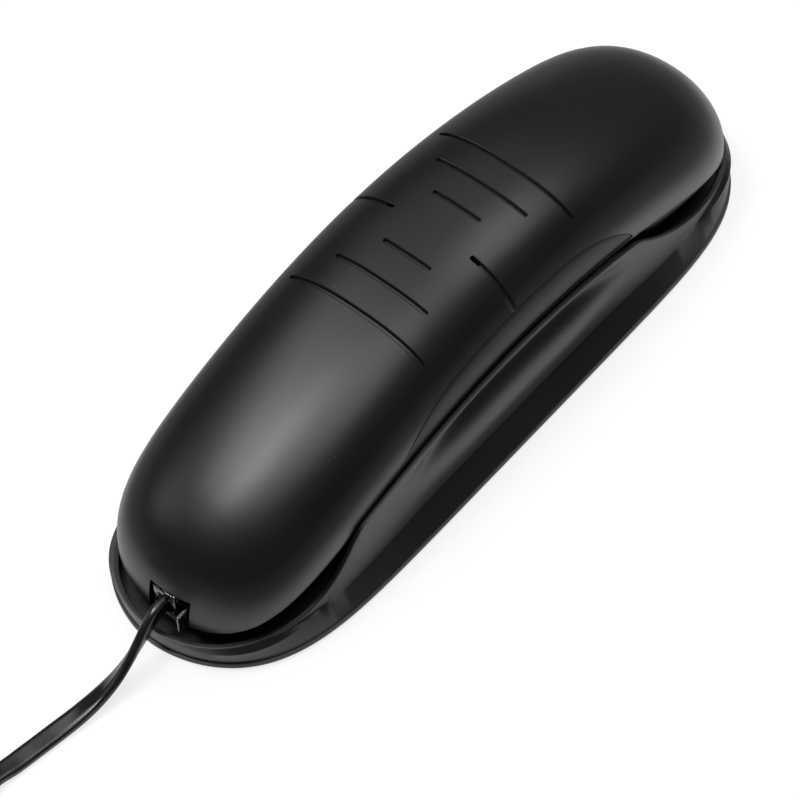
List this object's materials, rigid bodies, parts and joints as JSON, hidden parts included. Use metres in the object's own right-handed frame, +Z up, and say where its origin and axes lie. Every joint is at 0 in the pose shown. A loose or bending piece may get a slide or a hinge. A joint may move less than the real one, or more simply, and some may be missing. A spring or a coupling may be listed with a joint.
{
  "type": "corded telephone",
  "caption": "Slim black corded telephone: an arched handset with its keypad inside lies on a low oval cradle base; flat cord with clear modular plugs.",
  "frame": {"origin": "middle of the feet's underside, without the cord", "axes": "+Y along the phone towards the earpiece, +X to the side the picture shows, +Z up"},
  "size_m": [0.1022, 0.3204, 0.0535],
  "materials": {
    "shell_black": "satin black moulded plastic, fine grain",
    "base_black": "fine textured black plastic",
    "grip_black": "matt textured black plastic",
    "key_grey": "satin dark grey plastic",
    "silicone_grey": "soft grey silicone",
    "board_green": "green solder resist",
    "speaker_steel": "plated steel",
    "foam_grey": "soft foam",
    "rubber_black": "black rubber",
    "part_black": "black moulded plastic",
    "spring_steel": "spring steel",
    "plug_clear": "clear moulded plastic",
    "plate_steel": "zinc plated steel",
    "screw_steel": "plated steel",
    "cord_black": "glossy black flat cord"
  },
  "bodies": {
    "base": {"base_top_shell": "base_black", "base_bottom_plate": "base_black", "base_ballast": "plate_steel", "rubber_feet": "rubber_black", "base_screws": "screw_steel", "line_cord": "cord_black", "line_cord_coil": "cord_black", "wall_plug": "plug_clear"},
    "handset": {"handset_back_shell": "shell_black", "side_grip_right": "grip_black", "side_grip_left": "grip_black", "handset_front_shell": "shell_black", "keypad_membrane": "silicone_grey", "main_board": "board_green", "earpiece_speaker": "speaker_steel", "earpiece_gasket": "foam_grey", "microphone": "speaker_steel", "microphone_boot": "rubber_black", "ringer_sounder": "part_black", "hook_spring": "spring_steel", "hook_switch": "part_black", "handset_weight": "plate_steel", "handset_screws": "screw_steel", "line_jack": "part_black", "line_plug": "plug_clear"},
    "hook_plunger": {"hook_plunger": "key_grey"},
    "ringer_switch": {"ringer_switch": "key_grey"},
    "dial_mode_switch": {"dial_mode_switch": "key_grey"},
    "line_plug_latch": {"line_plug_latch": "plug_clear"},
    "wall_plug_latch": {"wall_plug_latch": "plug_clear"},
    "key_1": {"key_1": "key_grey"},
    "key_2": {"key_2": "key_grey"},
    "key_3": {"key_3": "key_grey"},
    "key_4": {"key_4": "key_grey"},
    "key_5": {"key_5": "key_grey"},
    "key_6": {"key_6": "key_grey"},
    "key_7": {"key_7": "key_grey"},
    "key_8": {"key_8": "key_grey"},
    "key_9": {"key_9": "key_grey"},
    "key_star": {"key_star": "key_grey"},
    "key_0": {"key_0": "key_grey"},
    "key_hash": {"key_hash": "key_grey"},
    "flash_key": {"flash_key": "key_grey"},
    "redial_key": {"redial_key": "key_grey"},
    "mute_key": {"mute_key": "key_grey"}
  },
  "joints": [
    {"name": "handset_lift", "type": "slide", "parent": "base", "child": "handset", "axis": [0, 0, 1], "range_m": [0, 0.06]},
    {"name": "hook_plunger_slide", "type": "slide", "parent": "handset", "child": "hook_plunger", "axis": [0, 0, 1], "range_m": [-0.003, 0], "deforming": ["hook_spring"]},
    {"name": "key_1_press", "type": "slide", "parent": "handset", "child": "key_1", "axis": [0, 0, 1], "range_m": [0, 0.0012], "stiffness_N_per_m": 600},
    {"name": "key_2_press", "type": "slide", "parent": "handset", "child": "key_2", "axis": [0, 0, 1], "range_m": [0, 0.0012], "stiffness_N_per_m": 600},
    {"name": "key_3_press", "type": "slide", "parent": "handset", "child": "key_3", "axis": [0, 0, 1], "range_m": [0, 0.0012], "stiffness_N_per_m": 600},
    {"name": "key_4_press", "type": "slide", "parent": "handset", "child": "key_4", "axis": [0, 0, 1], "range_m": [0, 0.0012], "stiffness_N_per_m": 600},
    {"name": "key_5_press", "type": "slide", "parent": "handset", "child": "key_5", "axis": [0, 0, 1], "range_m": [0, 0.0012], "stiffness_N_per_m": 600},
    {"name": "key_6_press", "type": "slide", "parent": "handset", "child": "key_6", "axis": [0, 0, 1], "range_m": [0, 0.0012], "stiffness_N_per_m": 600},
    {"name": "key_7_press", "type": "slide", "parent": "handset", "child": "key_7", "axis": [0, 0, 1], "range_m": [0, 0.0012], "stiffness_N_per_m": 600},
    {"name": "key_8_press", "type": "slide", "parent": "handset", "child": "key_8", "axis": [0, 0, 1], "range_m": [0, 0.0012], "stiffness_N_per_m": 600},
    {"name": "key_9_press", "type": "slide", "parent": "handset", "child": "key_9", "axis": [0, 0, 1], "range_m": [0, 0.0012], "stiffness_N_per_m": 600},
    {"name": "key_star_press", "type": "slide", "parent": "handset", "child": "key_star", "axis": [0, 0, 1], "range_m": [0, 0.0012], "stiffness_N_per_m": 600},
    {"name": "key_0_press", "type": "slide", "parent": "handset", "child": "key_0", "axis": [0, 0, 1], "range_m": [0, 0.0012], "stiffness_N_per_m": 600},
    {"name": "key_hash_press", "type": "slide", "parent": "handset", "child": "key_hash", "axis": [0, 0, 1], "range_m": [0, 0.0012], "stiffness_N_per_m": 600},
    {"name": "flash_key_press", "type": "slide", "parent": "handset", "child": "flash_key", "axis": [0, 0, 1], "range_m": [0, 0.0012], "stiffness_N_per_m": 600},
    {"name": "redial_key_press", "type": "slide", "parent": "handset", "child": "redial_key", "axis": [0, 0, 1], "range_m": [0, 0.0012], "stiffness_N_per_m": 600},
    {"name": "mute_key_press", "type": "slide", "parent": "handset", "child": "mute_key", "axis": [0, 0, 1], "range_m": [0, 0.0012], "stiffness_N_per_m": 600},
    {"name": "ringer_switch_slide", "type": "slide", "parent": "handset", "child": "ringer_switch", "axis": [0, 1, 0], "range_m": [-0.002, 0.002]},
    {"name": "dial_mode_switch_slide", "type": "slide", "parent": "handset", "child": "dial_mode_switch", "axis": [0, 1, 0], "range_m": [-0.002, 0.002]},
    {"name": "line_plug_latch_hinge", "type": "hinge", "parent": "handset", "child": "line_plug_latch", "pos_m": [0.00525, -0.08485, 0.0141], "axis": [0, 0, 1], "range_deg": [-7, 0], "stiffness_Nm_per_rad": 0.05},
    {"name": "wall_plug_latch_hinge", "type": "hinge", "parent": "base", "child": "wall_plug_latch", "pos_m": [0.0061, -0.19645, 0.01005], "axis": [0, 0, 1], "range_deg": [0, 7], "stiffness_Nm_per_rad": 0.05}
  ],
  "couplings": [
    {"joint": "hook_plunger_slide", "follows": "handset_lift", "ratio": -0.05}
  ]
}
